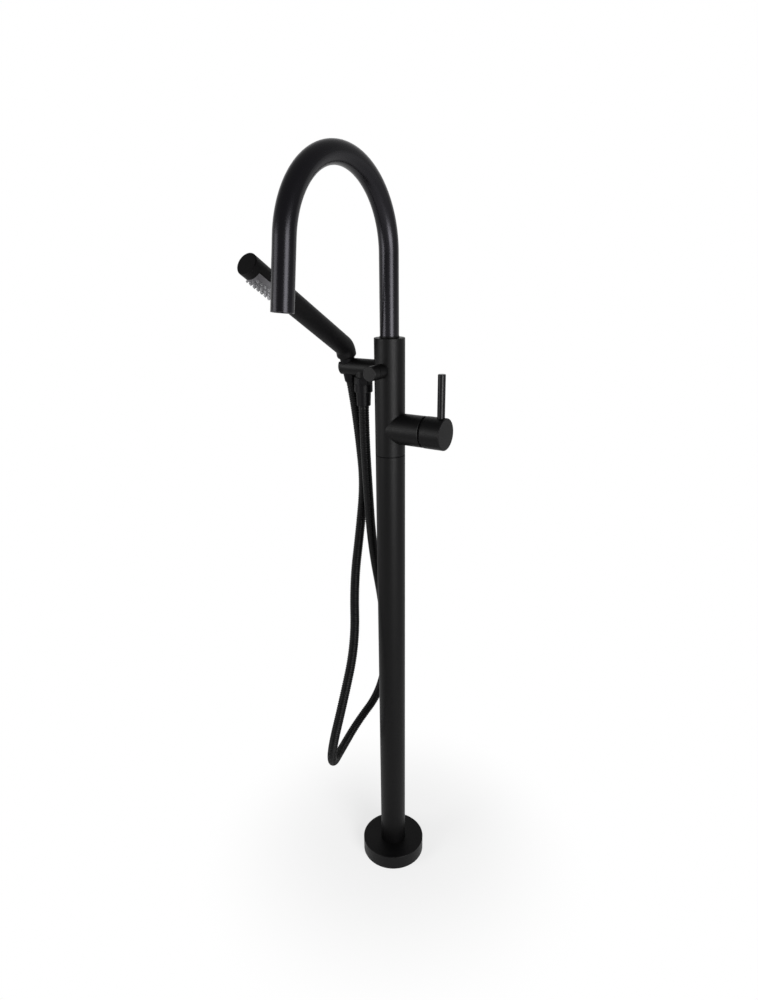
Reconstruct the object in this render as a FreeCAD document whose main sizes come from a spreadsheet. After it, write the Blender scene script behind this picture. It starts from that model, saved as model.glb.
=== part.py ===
"""Floor standing bath filler with a swivelling spout, a side lever, a pull diverter and a hand shower.

The origin is the centre of the column's foot on the floor. +Z points up, the spout reaches
towards -Y, the mixer's handle points to +X and the hand shower's holder to -X.
All sizes are millimetres and degrees.
"""
import FreeCAD, Part
import math
import os
import re
import Sketcher

V = FreeCAD.Vector
X, Y, Z = V(1, 0, 0), V(0, 1, 0), V(0, 0, 1)

SIZES = [
    # the upright
    ("column_diameter", 40.0, "column tube and mixer body, outside"),
    ("column_wall", 1.5, "wall of the column tube"),
    ("seam_height", 691.8, "underside of the mixer body"),
    ("seam_ring_thickness", 0.8, "ring in the groove under the mixer body"),
    ("seam_ring_setback", 0.5, "how far that ring lies inside the column's surface"),
    ("body_top", 843.7, "top face of the mixer body"),
    ("body_spigot_length", 16.0, "length of the body's spigot in the column"),
    ("slip_gap", 0.05, "radial clearance of parts pushed into each other"),
    ("running_gap", 0.08, "radial clearance of parts that turn or slide"),
    ("edge_bevel", 0.5, "bevel of turned edges"),
    # the foot
    ("flange_diameter", 90.0, "plate on the floor"),
    ("flange_thickness", 8.0, "thickness of that plate"),
    ("flange_spigot_height", 40.0, "spigot of the plate inside the column"),
    ("flange_bore", 33.2, "opening for the supply pipes"),
    ("floor_screw_circle", 68.0, "pitch circle of the floor screws"),
    ("floor_screw_hole", 8.5, "holes of the floor screws"),
    ("set_screw_height", 15.0, "height of the set screws in the column"),
    ("set_screw_diameter", 5.0, "set screws in the column"),
    ("cover_diameter", 100.0, "round cover over the plate"),
    ("cover_height", 24.0, "height of that cover"),
    ("cover_wall", 2.0, "wall of that cover"),
    ("cover_gap", 0.25, "radial gap between cover and column"),
    ("cover_seal_section", 2.4, "section of the ring that grips the column"),
    # the supply
    ("supply_diameter", 15.0, "supply pipes"),
    ("supply_wall", 1.0, "wall of the supply pipes"),
    ("supply_spacing", 17.4, "distance between the supply pipes"),
    ("supply_insertion", 26.0, "length of the supply pipes inside the body"),
    ("supply_groove_depth", 0.8, "depth of the grooves round the supply pipes"),
    ("supply_foot", 2.0, "height of the supply pipes' lower ends"),
    ("ring_section_gap", 0.04, "gap that keeps a ring's section clear of its groove"),
    # the neck and the mixing cartridge
    ("neck_height", 728.0, "axis of the neck, the cartridge and the handle"),
    ("neck_diameter", 41.0, "neck, outside"),
    ("neck_root_diameter", 38.9, "neck where it leaves the body"),
    ("neck_reach", 52.5, "front face of the neck from the column's axis"),
    ("neck_root", 2.0, "where the neck starts inside the body"),
    ("cartridge_pocket_diameter", 35.6, "pocket for the cartridge"),
    ("cartridge_pocket_floor", 18.0, "bottom of that pocket from the column's axis"),
    ("cartridge_seal_thickness", 1.0, "seal under the cartridge"),
    ("cartridge_wall", 2.0, "wall of the cartridge's housing"),
    ("cartridge_length", 28.0, "length of the cartridge's housing"),
    ("disc_thickness", 4.0, "each of the two ceramic discs"),
    ("disc_port_diameter", 6.5, "water ports of the fixed disc"),
    ("rotor_neck_diameter", 24.0, "rotor where it leaves the housing"),
    ("rotor_length", 21.0, "rotor from the moving disc to its front"),
    ("spindle_diameter", 8.0, "spindle that the handle sits on"),
    ("spindle_throat", 14.0, "opening in the rotor that lets the spindle tilt"),
    ("spindle_foot_gap", 1.0, "room under the spindle's foot"),
    ("spindle_length", 36.0, "spindle, end to end"),
    ("spindle_pivot", 38.0, "tilting pin from the column's axis"),
    ("spindle_pin_diameter", 3.0, "tilting pin"),
    ("spindle_pin_length", 22.0, "tilting pin"),
    ("clamp_nut_length", 6.5, "clamp nut of the cartridge"),
    ("clamp_nut_bore", 27.0, "opening of the clamp nut"),
    # the handle
    ("handle_gap", 3.0, "gap between neck and handle"),
    ("handle_diameter", 41.6, "round handle"),
    ("handle_length", 28.3, "round handle"),
    ("handle_wall", 2.0, "wall of the handle's hollow end"),
    ("handle_hollow", 8.5, "depth of the handle's hollow end"),
    ("handle_hub_depth", 16.5, "bottom of the spindle's hole in the handle"),
    ("handle_rim_round", 1.2, "rounding of the handle's front rim"),
    ("lever_diameter", 10.0, "pin lever"),
    ("lever_position", 20.7, "axis of the pin lever from the handle's open end"),
    ("lever_top", 75.0, "top of the pin lever above the handle's axis"),
    ("lever_seat_depth", 1.6, "how deep the pin lever sits in the handle's wall"),
    ("lever_stem_diameter", 6.0, "threaded stem of the pin lever"),
    ("lever_stem_foot", 8.0, "lower end of that stem from the handle's axis"),
    ("handle_screw_diameter", 4.0, "set screw of the handle"),
    ("handle_screw_position", 12.5, "set screw from the handle's open end"),
    ("handle_screw_length", 8.0, "set screw of the handle"),
    # the diverter, and the outlet's height
    ("outlet_height", 804.0, "axis of the diverter and of the holder bar"),
    ("diverter_diameter", 18.4, "diverter sleeve and knob"),
    ("diverter_boss_reach", 4.0, "front of the body's boss from the column's surface"),
    ("diverter_sleeve_length", 10.8, "sleeve in front of the boss"),
    ("diverter_knob_gap", 0.5, "gap between sleeve and knob"),
    ("diverter_knob_length", 12.3, "knob"),
    ("diverter_knob_front", 4.0, "solid front of the knob"),
    ("diverter_bore", 13.0, "bore of the body for the diverter"),
    ("diverter_bore_depth", 34.0, "depth of that bore from the boss's face"),
    ("diverter_spigot_length", 14.0, "sleeve's spigot in the bore"),
    ("diverter_groove_depth", 1.4, "groove of the O-ring on that spigot"),
    ("diverter_spindle_diameter", 6.0, "spindle that carries the valve"),
    ("diverter_valve_length", 3.0, "rubber valve on the spindle"),
    ("diverter_valve_place", 4.0, "valve's inner face behind the column's axis"),
    # the holder bar, its cradle and the hose outlet
    ("bar_diameter", 22.6, "holder bar"),
    ("bar_boss_reach", 2.5, "end of the body's boss from the column's surface"),
    ("bar_seal_thickness", 0.4, "seal between boss and bar"),
    ("bar_end", 74.5, "end face of the holder bar from the column's axis"),
    ("bar_spigot_diameter", 12.0, "threaded spigot of the bar"),
    ("bar_spigot_length", 12.0, "threaded spigot of the bar"),
    ("water_bore", 8.0, "bores that lead the water through the bar"),
    ("cradle_position", 65.0, "axis of the cradle from the column's axis"),
    ("cradle_tilt", 14.5, "lean of the cradle's bore towards the bath"),
    ("cradle_slot", 14.6, "slot that lets the hose out at the bar's end"),
    ("cradle_gap", 0.15, "gap between the conical nut and its bore"),
    ("outlet_position", 41.6, "axis of the hose outlet from the column's axis"),
    ("outlet_thread", 20.6, "threaded nipple of the hose outlet"),
    ("outlet_nipple_drop", 23.0, "lower end of the nipple below the bar's axis"),
    ("check_valve_diameter", 12.0, "non-return valve"),
    ("check_valve_length", 11.0, "non-return valve"),
    ("outlet_nut_top", 12.5, "top of the hose nut below the bar's axis"),
    ("outlet_nut_flats", 22.4, "hexagon across flats"),
    ("outlet_hexagon_length", 9.5, "hexagon of the hose nut"),
    ("outlet_collar_diameter", 24.4, "round collar of the hose nut"),
    ("outlet_collar_length", 10.0, "round collar of the hose nut"),
    ("outlet_sleeve_top", 20.0, "tapered end of the hose nut, upper diameter"),
    ("outlet_sleeve_bottom", 18.4, "tapered end of the hose nut, lower diameter"),
    ("outlet_sleeve_length", 18.5, "tapered end of the hose nut"),
    ("hose_washer_thickness", 1.6, "flat washers of the hose"),
    # the hose
    ("hose_diameter", 14.0, "metal hose, outside"),
    ("hose_bore", 8.0, "metal hose, inside"),
    ("hose_first_run", 31.0, "how far the hose leaves the conical nut along its axis"),
    ("hose_last_run", 40.0, "how far the hose rises straight into the outlet's nut"),
    # the conical nut and the hand shower
    ("cone_mid_diameter", 18.6, "conical nut at the bar's axis"),
    ("cone_taper", 0.09, "growth of the cone's diameter per millimetre"),
    ("cone_below", 20.6, "conical nut below the bar's axis"),
    ("cone_end_round", 2.0, "rounding of the cone's lower end"),
    ("hand_thread", 15.0, "thread between conical nut and hand shower"),
    ("hand_thread_length", 10.5, "thread between conical nut and hand shower"),
    ("nipple_flange_diameter", 18.0, "flange that holds the threaded nipple in the hand shower's leg"),
    ("nipple_flange_thickness", 2.0, "flange of the threaded nipple"),
    ("elbow_height", 26.2, "where the hand shower's axes meet, above the bar's axis"),
    ("leg_length", 13.4, "hand shower's leg below that point"),
    ("baton_diameter", 26.0, "hand shower's handle"),
    ("baton_wall", 2.0, "wall of that handle"),
    ("baton_length", 202.3, "hand shower from the point where its axes meet"),
    ("baton_bend", 45.0, "bend of the hand shower"),
    ("baton_bend_radius", 16.0, "radius of that bend"),
    ("leg_round", 3.5, "rounding of the leg's lower edge"),
    ("end_cap_thickness", 4.0, "end cap of the hand shower"),
    ("end_cap_insertion", 7.0, "plug of the end cap inside the handle"),
    ("end_cap_round", 1.2, "rounding of the end cap"),
    ("spray_start", 130.3, "spray plate, lower end along the handle"),
    ("spray_length", 62.0, "spray plate"),
    ("spray_sweep", 134.0, "spray plate's share of the handle's round"),
    ("spray_plate_thickness", 1.8, "spray plate"),
    ("nozzle_rows", 9, "nozzles along the handle"),
    ("nozzle_columns", 4, "nozzles round the handle"),
    ("nozzle_pitch", 6.4, "distance of the nozzles along the handle"),
    ("nozzle_angle", 22.0, "distance of the nozzles round the handle"),
    ("nozzle_root_diameter", 3.0, "nozzle at the plate"),
    ("nozzle_tip_diameter", 2.0, "nozzle at its tip"),
    ("nozzle_height", 2.3, "nozzle above the plate"),
    ("nozzle_hole_gap", 0.1, "radial gap of a nozzle in the plate"),
    ("nozzle_mat_thickness", 1.2, "rubber mat that carries the nozzles"),
    # the spout
    ("spout_diameter", 24.5, "spout tube"),
    ("spout_wall", 1.5, "wall of the spout tube"),
    ("spout_arch_height", 943.0, "where the spout starts to bend"),
    ("spout_arch_radius", 97.0, "radius of the spout's bend"),
    ("spout_arch_sweep", 172.0, "bend of the spout"),
    ("spout_leg_length", 72.2, "straight end of the spout"),
    ("collar_diameter", 25.6, "ring at the spout's foot"),
    ("collar_height", 2.2, "ring at the spout's foot"),
    ("socket_diameter", 23.2, "spout's socket in the body"),
    ("socket_depth", 31.0, "spout's socket in the body"),
    ("bearing_thickness", 2.0, "bearing ring at the socket's bottom"),
    ("foot_bore", 16.0, "waterway in the spout's foot"),
    ("foot_insertion", 10.0, "spout's foot inside the spout tube"),
    ("ring_groove_depth", 1.9, "grooves of the O-rings"),
    ("ring_groove_width", 2.6, "grooves of the O-rings"),
    ("foot_ring_place", 4.0, "lower O-ring from the foot's lower end"),
    ("foot_ring_pitch", 6.0, "distance between the foot's O-rings"),
    ("lock_screw_height", 834.0, "screw that holds the spout"),
    ("lock_screw_diameter", 5.0, "screw that holds the spout"),
    ("lock_groove_depth", 1.4, "groove for that screw's tip"),
    ("aerator_length", 12.0, "aerator housing"),
    ("aerator_setback", 1.0, "aerator inside the spout's end"),
    ("aerator_wall", 1.8, "wall of the aerator housing"),
    ("aerator_plate", 3.0, "perforated insert of the aerator"),
    ("aerator_hole", 2.6, "holes of that insert"),
]

# The hose's route as it hangs, between the runs that leave its two nuts: down from the cradle,
# in a loop before, beside and behind the column, and up again to the outlet.
HOSE_ROUTE = [
    (-66.0, 24.0, 699.0),
    (-65.0, 31.0, 633.0),
    (-67.0, 20.0, 563.0),
    (-61.0, -8.0, 488.0),
    (-38.0, -41.0, 406.0),
    (-34.0, -83.0, 328.0),
    (-42.0, -104.0, 256.0),
    (-61.0, -81.0, 202.0),
    (-85.0, -28.0, 181.0),
    (-90.0, 30.0, 201.0),
    (-69.0, 68.0, 246.0),
    (-50.0, 67.0, 330.0),
    (-43.0, 43.0, 437.0),
    (-44.0, 17.0, 543.0),
    (-41.6, 5.0, 644.0),
]

TO_RIGHT = (Y, "90")
TO_LEFT = (Y, "-90")
TO_FRONT = (X, "90")
TO_BACK = (X, "-90")
LEANING = (X, "cradle_tilt")
TOUCH = 1e-4

# The faces of the body's two bosses, from the column's axis.
DIVERTER_BOSS = "(column_diameter / 2 + diverter_boss_reach)"
BAR_BOSS = "(column_diameter / 2 + bar_boss_reach)"

doc = FreeCAD.newDocument("BathFiller")
sheet = doc.addObject("Spreadsheet::Sheet", "Sizes")
for row, (alias, value, note) in enumerate(SIZES, 1):
    sheet.set(f"A{row}", note)
    sheet.set(f"B{row}", str(value))
    sheet.setAlias(f"B{row}", alias)
doc.recompute()

SIZE_WORDS = re.compile(r"\b(" + "|".join(alias for alias, value, note in SIZES) + r")\b")
probe = doc.addObject("App::FeaturePython", "Probe")
probe.addProperty("App::PropertyFloat", "Value")
parts = []


# ---------------------------------------------------------------- building blocks

def bind(thing, prop, formula):
    """Tie a property to the sheet: every size's name in the formula becomes its cell."""
    thing.setExpression(prop, SIZE_WORDS.sub(r"Sizes.\1", str(formula)))


def number(formula):
    """What a formula of the sheet's sizes comes to."""
    bind(probe, "Value", formula)
    probe.recompute()
    return probe.Value


def put(thing, prop, at, turn, axes):
    """Give a placement its place and its turn about one axis; axes maps the body's axes to its own."""
    if turn:
        axis, angle = turn
        setattr(thing, prop, FreeCAD.Placement(V(), FreeCAD.Rotation(axes(axis), 1.0)))
        bind(thing, prop + ".Rotation.Angle", angle)
    for letter, formula in zip("xyz", axes_of(at, axes)):
        if formula != "0":
            bind(thing, f"{prop}.Base.{letter}", formula)


def axes_of(at, axes):
    """The three formulas of a place, in the order of the placement's own axes."""
    order = axes(V(0, 1, 2))
    return [at[int(order.x)], at[int(order.y)], at[int(order.z)]]


def own_axes(v):
    return v


def side_plane_axes(v):
    """A sketch on the YZ plane has Y to its right, Z up and X towards the viewer."""
    return V(v.y, v.z, v.x)


def new_body(label, at=("0", "0", "0"), turn=None):
    body = doc.addObject("PartDesign::Body", label)
    body.Label = label
    put(body, "Placement", at, turn, own_axes)
    parts.append(body)
    return body


def origin_feature(body, role):
    return next(item for item in body.Origin.OriginFeatures if item.Role == role)


def new_sketch(body, role, name):
    sketch = body.newObject("Sketcher::SketchObject", name)
    sketch.AttachmentSupport = [(origin_feature(body, role), "")]
    sketch.MapMode = "FlatFace"
    sketch.Visibility = False
    return sketch


def fix_point(sketch, line, end, across, up):
    """Hold one end of a line at a place given by two formulas."""
    for kind, formula, axis in (("DistanceX", across, -2), ("DistanceY", up, -1)):
        if formula == "0":
            sketch.addConstraint(Sketcher.Constraint("PointOnObject", line, end, axis))
        else:
            index = sketch.addConstraint(Sketcher.Constraint(kind, -1, 1, line, end, number(formula)))
            bind(sketch, f"Constraints[{index}]", formula)


def closed_outline(sketch, places):
    """Draw straight lines through the places, each an (across, up) pair of formulas."""
    count = len(places)
    corners = [V(number(across), number(up), 0) for across, up in places]
    for i in range(count):
        sketch.addGeometry(Part.LineSegment(corners[i], corners[(i + 1) % count]))
    for i in range(count):
        sketch.addConstraint(Sketcher.Constraint("Coincident", i, 2, (i + 1) % count, 1))
    for i, (across, up) in enumerate(places):
        fix_point(sketch, i, 1, across, up)


def spin(body, outline, cut=False, side="", at=("0", "0", "0"), turn=None, sweep=None):
    """Turn an outline of (along, out) places about an axis, which is Z unless it is turned."""
    sketch = new_sketch(body, "YZ_Plane", "Outline")
    put(sketch, "AttachmentOffset", at, turn, side_plane_axes)
    closed_outline(sketch, [(out if out == "0" else f"{side}({out})", along) for along, out in outline])
    feature = body.newObject("PartDesign::Groove" if cut else "PartDesign::Revolution", "Turned")
    feature.Profile = sketch
    feature.ReferenceAxis = (sketch, ["V_Axis"])
    feature.Angle = 360
    if sweep:
        feature.Midplane = True
        bind(feature, "Angle", sweep)
    doc.recompute()
    return feature


def drill(body, diameter, start, end, at=("0", "0", "0"), turn=None):
    """A round hole between two places along its axis."""
    radius = f"({diameter}) / 2"
    return spin(body, [(start, "0"), (start, radius), (end, radius), (end, "0")], True, "", at, turn)


def corner_edges(body, feature, corners):
    """The round edges that the numbered corners of a turned outline have made."""
    sketch = feature.Profile[0]
    names = []
    for corner in corners:
        point = Part.Vertex(sketch.Placement.multVec(sketch.Geometry[corner].StartPoint))
        for index, edge in enumerate(body.Tip.Shape.Edges, 1):
            if isinstance(edge.Curve, Part.Circle) and edge.distToShape(point)[0] < TOUCH:
                names.append(f"Edge{index}")
    return names


def ease(body, kind, size, edges):
    """Round or bevel edges: kind is Fillet or Chamfer."""
    base = body.Tip
    feature = body.newObject("PartDesign::" + kind, kind)
    feature.Base = (base, edges)
    bind(feature, "Radius" if kind == "Fillet" else "Size", size)
    doc.recompute()


def around(body, feature, count):
    """Repeat a feature evenly about the body's Z axis."""
    pattern = body.newObject("PartDesign::PolarPattern", "Around")
    pattern.Originals = [feature]
    pattern.Axis = (origin_feature(body, "Z_Axis"), [""])
    pattern.Angle = 360
    pattern.Occurrences = count
    body.Tip = pattern
    doc.recompute()
    return pattern


def turned(label, outline, at=("0", "0", "0"), turn=None, bevel=(), round_off=(), round_size="edge_bevel"):
    """A turned piece with its own axis along Z; bevel and round_off number the outline's corners."""
    body = new_body(label, at, turn)
    feature = spin(body, outline)
    if round_off:
        ease(body, "Fillet", round_size, corner_edges(body, feature, round_off))
    if bevel:
        ease(body, "Chamfer", "edge_bevel", corner_edges(body, feature, bevel))
    return body


def ring(start, end, inner, outer):
    """The outline of a ring; inner and outer are diameters."""
    a, b = f"({inner}) / 2", f"({outer}) / 2"
    return [(start, a), (start, b), (end, b), (end, a)]


def rod(start, end, diameter):
    radius = f"({diameter}) / 2"
    return [(start, "0"), (start, radius), (end, radius), (end, "0")]


def o_rings(label, inner, outer, places, at=("0", "0", "0"), turn=None):
    """Rubber rings between a groove and a bore, at the places along their axis."""
    rings = []
    for place in places:
        item = doc.addObject("Part::Torus", label + "_item")
        bind(item, "Radius1", f"(({inner}) + ({outer})) / 4")
        bind(item, "Radius2", f"(({outer}) - ({inner})) / 4 - ring_section_gap")
        for letter, formula in zip("xyz", place):
            bind(item, f"Placement.Base.{letter}", formula)
        rings.append(item)
    group = doc.addObject("Part::Compound", label)
    group.Label = label
    group.Links = rings
    put(group, "Placement", at, turn, own_axes)
    parts.append(group)


def bent_pipe(body, cut, start, bend_start, radius, sweep, straight, diameters):
    """A round bar or tube that rises along Z, bends towards -Y and ends in a straight run."""
    spine = new_sketch(body, "YZ_Plane", "Spine")
    r, a, low, high, run = (number(text) for text in (radius, sweep, start, bend_start, straight))
    turn_end = V(-r + r * math.cos(math.radians(a)), high + r * math.sin(math.radians(a)), 0)
    run_end = turn_end + V(-math.sin(math.radians(a)), math.cos(math.radians(a)), 0) * run
    spine.addGeometry(Part.LineSegment(V(0, low, 0), V(0, high, 0)))
    spine.addGeometry(Part.ArcOfCircle(Part.Circle(V(-r, high, 0), Z, r), 0, math.radians(a)))
    spine.addGeometry(Part.LineSegment(turn_end, run_end))
    fix_point(spine, 0, 1, "0", start)
    fix_point(spine, 0, 2, "0", bend_start)
    spine.addConstraint(Sketcher.Constraint("Tangent", 0, 2, 1, 1))
    spine.addConstraint(Sketcher.Constraint("Tangent", 1, 2, 2, 1))
    for kind, formula, item in (("Radius", radius, 1), ("Distance", straight, 2)):
        index = spine.addConstraint(Sketcher.Constraint(kind, item, number(formula)))
        bind(spine, f"Constraints[{index}]", formula)
    index = spine.addConstraint(Sketcher.Constraint("Angle", 1, math.radians(a)))
    bind(spine, f"Constraints[{index}]", f"({sweep}) * 1 deg")

    profile = new_sketch(body, "XY_Plane", "Profile")
    bind(profile, "AttachmentOffset.Base.z", start)
    for item, diameter in enumerate(diameters):
        profile.addGeometry(Part.Circle(V(), Z, number(diameter) / 2))
        profile.addConstraint(Sketcher.Constraint("Coincident", item, 3, -1, 1))
        index = profile.addConstraint(Sketcher.Constraint("Radius", item, number(diameter) / 2))
        bind(profile, f"Constraints[{index}]", f"({diameter}) / 2")
    doc.recompute()
    pipe = body.newObject("PartDesign::SubtractivePipe" if cut else "PartDesign::AdditivePipe", "Pipe")
    pipe.Profile = profile
    pipe.Spine = (spine, [])
    doc.recompute()
    return pipe


# ---------------------------------------------------------------- the foot and the column

COLUMN_BORE = "column_diameter - 2 * column_wall"
COLUMN_TOP = "seam_height - seam_ring_thickness"
SUPPLY_CENTRES = (("supply_spacing / 2", "0", "0"), ("-supply_spacing / 2", "0", "0"))
SUPPLY_BORE = "supply_diameter + 2 * slip_gap"
SUPPLY_TOP = "seam_height - body_spigot_length + supply_insertion"
SUPPLY_GROOVE = "supply_diameter + 2 * supply_groove_depth"
SUPPLY_RING_PLACES = (f"{SUPPLY_TOP} - supply_insertion * 0.65", f"{SUPPLY_TOP} - supply_insertion * 0.35")


def floor_flange():
    spigot = f"({COLUMN_BORE}) / 2 - slip_gap"
    body = turned("floor_flange", [
        ("0", "flange_bore / 2"),
        ("0", "flange_diameter / 2"),
        ("flange_thickness", "flange_diameter / 2"),
        ("flange_thickness", spigot),
        ("flange_thickness + flange_spigot_height", spigot),
        ("flange_thickness + flange_spigot_height", "flange_bore / 2"),
    ], bevel=(2, 4))
    screw_hole = drill(body, "floor_screw_hole", "-1", "flange_thickness + 1",
                       at=("0", "floor_screw_circle / 2", "0"))
    around(body, screw_hole, 4)
    thread = drill(body, "set_screw_diameter", "flange_bore / 4", "column_diameter / 2",
                   at=("0", "0", "set_screw_height"), turn=TO_BACK)
    around(body, thread, 3)


def column():
    body = turned("column_tube", ring("flange_thickness", COLUMN_TOP, COLUMN_BORE, "column_diameter"))
    hole = drill(body, "set_screw_diameter + 2 * slip_gap", "column_diameter / 4", "column_diameter",
                 at=("0", "0", "set_screw_height"), turn=TO_BACK)
    around(body, hole, 3)
    screws = new_body("column_set_screws", at=("0", "0", "set_screw_height"))
    screws.AllowCompound = True
    screw = spin(screws, rod("flange_bore / 2 + slip_gap", "column_diameter / 2 + edge_bevel",
                             "set_screw_diameter - 2 * slip_gap"), turn=TO_BACK)
    around(screws, screw, 3)
    turned("seam_ring", ring(COLUMN_TOP, "seam_height", COLUMN_BORE,
                             "column_diameter - 2 * seam_ring_setback"))


def base_cover():
    under = "cover_height - cover_wall"
    hole = "column_diameter / 2 + cover_gap"
    inside = "cover_diameter / 2 - cover_wall"
    turned("base_cover", [
        ("0", inside),
        ("0", "cover_diameter / 2"),
        ("cover_height", "cover_diameter / 2"),
        ("cover_height", hole),
        (under, hole),
        (under, inside),
    ], bevel=(2,))
    o_rings("cover_seal", "column_diameter", "column_diameter + 2 * cover_seal_section",
            [("0", "0", f"{under} - cover_seal_section / 2")])


def supply():
    for label, centre in zip(("supply_pipe_hot", "supply_pipe_cold"), SUPPLY_CENTRES):
        turned(label, ring("supply_foot", SUPPLY_TOP, "supply_diameter - 2 * supply_wall",
                           "supply_diameter"), at=centre, bevel=(1, 2))


# ---------------------------------------------------------------- the mixer body

SOCKET_FLOOR = "body_top - socket_depth"


def edges_where(body, test):
    """The edges of the body's newest solid whose points all pass a test."""
    names = []
    for index, edge in enumerate(body.Tip.Shape.Edges, 1):
        if all(test(point) for point in edge.discretize(5)):
            names.append(f"Edge{index}")
    return names


def mixer_body():
    body = new_body("mixer_body")
    spigot = f"({COLUMN_BORE}) / 2 - slip_gap"
    foot = "seam_height - body_spigot_length"
    shell = spin(body, [
        (foot, "0"),
        (foot, spigot),
        ("seam_height", spigot),
        ("seam_height", "column_diameter / 2"),
        ("body_top", "column_diameter / 2"),
        ("body_top", "0"),
    ])
    ease(body, "Chamfer", "edge_bevel", corner_edges(body, shell, (1, 3, 4)))
    neck = spin(body, [
        ("neck_root", "0"),
        ("neck_root", "neck_root_diameter / 2"),
        ("column_diameter * 0.2", "neck_root_diameter / 2"),
        ("column_diameter * 0.4", "neck_diameter / 2"),
        ("neck_reach", "neck_diameter / 2"),
        ("neck_reach", "0"),
    ], at=("0", "0", "neck_height"), turn=TO_RIGHT)
    ease(body, "Chamfer", "edge_bevel", corner_edges(body, neck, (4,)))
    spin(body, rod("0", DIVERTER_BOSS, "diverter_diameter"),
         at=("0", "0", "outlet_height"), turn=TO_FRONT)
    spin(body, rod("0", BAR_BOSS, "bar_diameter"),
         at=("0", "0", "outlet_height"), turn=TO_LEFT)
    # the spout's socket, and the waterway that rises to it from the cartridge
    drill(body, "socket_diameter", SOCKET_FLOOR, "body_top + 1")
    drill(body, "foot_bore", "neck_height", "body_top - socket_depth / 2")
    drill(body, "foot_bore", "0", "neck_reach - 1", at=("0", "0", "neck_height"), turn=TO_RIGHT)
    drill(body, "cartridge_pocket_diameter", "cartridge_pocket_floor", "neck_reach + 1",
          at=("0", "0", "neck_height"), turn=TO_RIGHT)
    drill(body, "diverter_bore", f"{DIVERTER_BOSS} - diverter_bore_depth", f"{DIVERTER_BOSS} + 1",
          at=("0", "0", "outlet_height"), turn=TO_FRONT)
    drill(body, "bar_spigot_diameter + 2 * slip_gap", "0", f"{BAR_BOSS} + 1",
          at=("0", "0", "outlet_height"), turn=TO_LEFT)
    for centre in SUPPLY_CENTRES:
        drill(body, SUPPLY_BORE, f"{foot} - 1", f"{SUPPLY_TOP} + edge_bevel", at=centre)
        for place in SUPPLY_RING_PLACES:
            drill(body, SUPPLY_GROOVE, f"{place} - ring_groove_width / 2",
                  f"{place} + ring_groove_width / 2", at=centre)
    drill(body, "lock_screw_diameter", "0", "column_diameter", at=("0", "0", "lock_screw_height"),
          turn=TO_BACK)
    return body


def supply_rings():
    o_rings("supply_o_rings", "supply_diameter", SUPPLY_GROOVE,
            [(centre[0], "0", place) for centre in SUPPLY_CENTRES for place in SUPPLY_RING_PLACES])


# ---------------------------------------------------------------- the mixing cartridge and the handle

HANDLE_AXIS = ("0", "0", "neck_height")
HOUSING_START = "cartridge_pocket_floor + cartridge_seal_thickness"
HOUSING_END = f"({HOUSING_START} + cartridge_length)"
DISC_START = f"({HOUSING_START} + cartridge_wall)"
ROTOR_START = f"({DISC_START} + 2 * disc_thickness + 2 * running_gap)"
HANDLE_START = "(neck_reach + handle_gap)"
HANDLE_END = f"({HANDLE_START} + handle_length)"


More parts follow.
